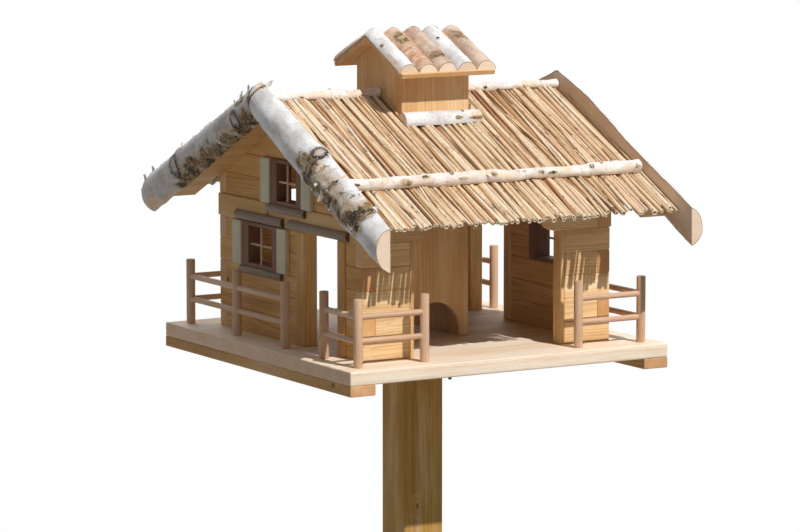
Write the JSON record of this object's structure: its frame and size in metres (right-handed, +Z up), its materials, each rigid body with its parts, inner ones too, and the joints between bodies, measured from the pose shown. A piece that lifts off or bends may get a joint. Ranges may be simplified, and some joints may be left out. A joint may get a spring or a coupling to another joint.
{
  "type": "bird feeder house on a post",
  "caption": "Chalet-style wooden bird feeding house with a reed roof, a central feed silo with a loose lid and railings, on a tall square post.",
  "frame": {"origin": "middle of the post's foot, on the ground", "axes": "+X along the ridge, the wide front opening faces -Y, +Z up"},
  "size_m": [0.5795, 0.736, 1.5566],
  "materials": {
    "pine": "raw",
    "spruce": "raw",
    "spruce_end": "raw",
    "plank": "raw",
    "window_wood": "satin",
    "shutter": "matt paint",
    "dowel": "raw",
    "birch_bark": "raw",
    "brown_bark": "raw",
    "reed": "raw"
  },
  "bodies": {
    "house": {"post": "pine", "base_board": "spruce", "base_battens": "spruce_end", "front_left_wall": "plank", "front_right_wall": "plank", "back_left_wall": "plank", "back_right_wall": "plank", "opening_jambs": "plank", "wall_plates": "plank", "left_gable_rear_wall": "plank", "left_gable_front_wall": "plank", "left_gable_beam": "spruce", "left_gable_top": "plank", "right_gable_front_wall": "plank", "right_gable_rear_wall": "plank", "right_gable_beam": "spruce", "right_gable_top": "plank", "left_door_posts": "plank", "right_door_posts": "plank", "left_windows": "window_wood", "right_windows": "window_wood", "left_shutters": "shutter", "right_shutters": "shutter", "left_hoods": "dowel", "right_hoods": "dowel", "left_sills": "dowel", "right_sills": "dowel", "silo_front": "spruce", "silo_back": "spruce", "silo_left_side": "spruce", "silo_right_side": "spruce", "silo_foot_sticks": "birch_bark", "roof_boards": "plank", "left_verge_boards": "plank", "right_verge_boards": "plank", "front_thatch": "reed", "back_thatch": "reed", "ridge_sticks": "birch_bark", "hold_down_sticks": "birch_bark", "front_left_verge_log": "birch_bark", "back_left_verge_log": "birch_bark", "front_right_verge_log": "birch_bark", "back_right_verge_log": "birch_bark", "front_left_railing": "dowel", "front_right_railing": "dowel", "back_left_railing": "dowel", "back_right_railing": "dowel"},
    "lid": {"silo_lid_boards": "spruce", "silo_lid_logs": "brown_bark"}
  },
  "joints": [
    {"name": "lid_lift", "type": "slide", "parent": "house", "child": "lid", "axis": [0, 0, 1], "range_m": [0, 0.1]}
  ]
}
